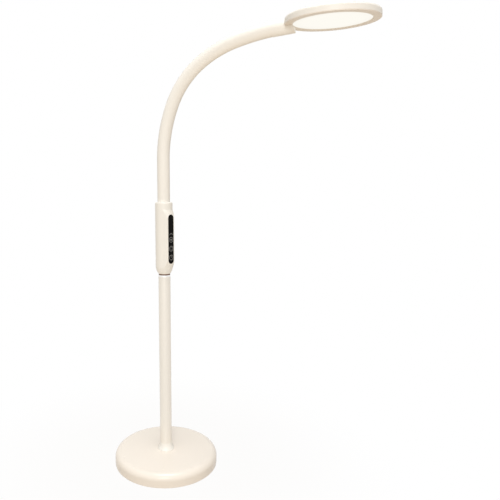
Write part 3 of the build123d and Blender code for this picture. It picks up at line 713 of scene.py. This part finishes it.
class LAMP_OT_neck_lead(bpy.types.Operator):
    """Thread the lead through the gooseneck's core"""

    bl_idname = "lamp.neck_lead"
    bl_label = "Gooseneck lead"

    def execute(self, context):
        size = context.scene.lamp_sizes
        foot = CAP_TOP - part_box("neck_lead")[0][2] / MM
        blended_tubes("inner_lead", foot, LEAD_PAST_NECK, size.lead_radius, 0.0, "lead_jacket",
                      LEAD_POINTS, lambda k: ["neck_lead"])
        return {"FINISHED"}


class LAMP_OT_head(bpy.types.Operator):
    """Finish the head: stem, shell, bezel and the lit stack inside"""

    bl_idname = "lamp.head"
    bl_label = "Head"

    def execute(self, context):
        finish_nodes({
            # Painted light: stem and shell take the cream made brighter, while the bezel of the same
            # plastic keeps the plain cream
            "pale_plastic": ["head_stem", "head_housing"],
            "cream_bezel": ["head_bezel"],
            "glowing_diffuser": ["diffuser"],
            "light_sheet": ["light_guide"],
            "reflector_film": ["reflector_sheet"],
            "strip_film": ["led_strip"],
            "raw_aluminium": ["back_plate"],
            "zinc_steel": ["head_screws", "head_ferrule"],
            "lead_jacket": ["head_lead"],
        })
        return {"FINISHED"}


class LAMP_OT_studio(bpy.types.Operator):
    """Lay the pale floor and set the soft lights and the white surroundings"""

    bl_idname = "lamp.studio"
    bl_label = "Studio"

    def execute(self, context):
        studio = context.scene.lamp_studio
        bm = bmesh.new()
        bmesh.ops.create_grid(bm, x_segments=1, y_segments=1, size=FLOOR_HALF)
        floor_finish(tuple(studio.floor), studio.floor_white)
        finished(bm, "studio_floor", "studio_floor")
        context.scene.world = white_world(studio.ambient)
        area_light("top_light", studio.top_light, **TOP_LIGHT)
        area_light("front_light", studio.front_light, **FRONT_LIGHT)
        context.scene.view_settings.view_transform = "Standard"
        return {"FINISHED"}


def floor_finish(colour, near_white):
    """Floor that lights the lamp with its own colour, and is seen near white, then white further out."""
    tree, shader, coordinate = material("studio_floor")
    fine = noise(tree, coordinate, 30.0, 3.0)
    tree.links.new(mixed(tree, fine, colour, shade(colour, 0.99)), shader.inputs["Base Color"])
    shader.inputs["Roughness"].default_value = 0.9
    white = tree.nodes.new("ShaderNodeEmission")
    share = reach(tree, coordinate, WHITE_FROM, WHITE_FULL)
    share.interpolation_type = "SMOOTHSTEP"
    share.inputs["To Min"].default_value = near_white
    seen = calculated(tree, "MULTIPLY", seen_by_eye(tree), share.outputs["Result"])
    chosen(tree, seen, shader.outputs["BSDF"], white.outputs["Emission"], "Material Output")


def white_world(strength):
    """Even soft light from all round, seen as white."""
    world = bpy.data.worlds.new("studio_world")
    world.use_nodes = True
    tree = world.node_tree
    soft = tree.nodes["Background"]
    soft.inputs["Color"].default_value = (*AMBIENT_COLOUR, 1)
    soft.inputs["Strength"].default_value = strength
    white = tree.nodes.new("ShaderNodeBackground")
    white.inputs["Color"].default_value = (1, 1, 1, 1)
    chosen(tree, seen_by_eye(tree), soft.outputs["Background"], white.outputs["Background"],
           "World Output")
    return world


def seen_by_eye(tree):
    """1 where the surroundings are seen directly, in a gloss or through glass."""
    path = tree.nodes.new("ShaderNodeLightPath")
    rays = [path.outputs[name] for name in ("Is Camera Ray", "Is Glossy Ray", "Is Transmission Ray")]
    total = rays[0]
    for ray in rays[1:]:
        total = calculated(tree, "ADD", total, ray)
    return total


def area_light(name, power, place, target, size, colour):
    """A round light at a place, aimed at a point."""
    light = bpy.data.lights.new(name, "AREA")
    light.shape = "DISK"
    light.size = size
    light.energy = power
    light.color = colour
    lamp = bpy.data.objects.new(name, light)
    lamp.location = place
    lamp.rotation_euler = (Vector(target) - Vector(place)).to_track_quat("-Z", "Y").to_euler()
    bpy.context.scene.collection.objects.link(lamp)


class LAMP_PT_panel(bpy.types.Panel):
    """Lists the lamp's steps, sizes and colours."""

    bl_idname = "LAMP_PT_panel"
    bl_label = "Reading lamp"
    bl_space_type = "VIEW_3D"
    bl_region_type = "UI"
    bl_category = "Reading lamp"

    def draw(self, context):
        for step in STEPS:
            self.layout.operator(step.bl_idname)
        for group in (context.scene.lamp_finishes, context.scene.lamp_sizes, context.scene.lamp_studio):
            box = self.layout.box()
            for name in group.__annotations__:
                box.prop(group, name)


STEPS = (
    LAMP_OT_camera, LAMP_OT_materials, LAMP_OT_base, LAMP_OT_pole, LAMP_OT_column, LAMP_OT_neck_core,
    LAMP_OT_sleeve, LAMP_OT_neck_lead, LAMP_OT_head, LAMP_OT_studio,
)
CLASSES = (LampFinishes, LampSizes, LampStudio) + STEPS + (LAMP_PT_panel,)


def register():
    for made in CLASSES:
        bpy.utils.register_class(made)
    bpy.types.Scene.lamp_finishes = PointerProperty(type=LampFinishes)
    bpy.types.Scene.lamp_sizes = PointerProperty(type=LampSizes)
    bpy.types.Scene.lamp_studio = PointerProperty(type=LampStudio)


def unregister():
    del bpy.types.Scene.lamp_studio, bpy.types.Scene.lamp_sizes, bpy.types.Scene.lamp_finishes
    for made in reversed(CLASSES):
        bpy.utils.unregister_class(made)


def main():
    register()
    for step in STEPS:
        group, name = step.bl_idname.split(".")
        getattr(getattr(bpy.ops, group), name)()


if __name__ == "__main__":
    main()
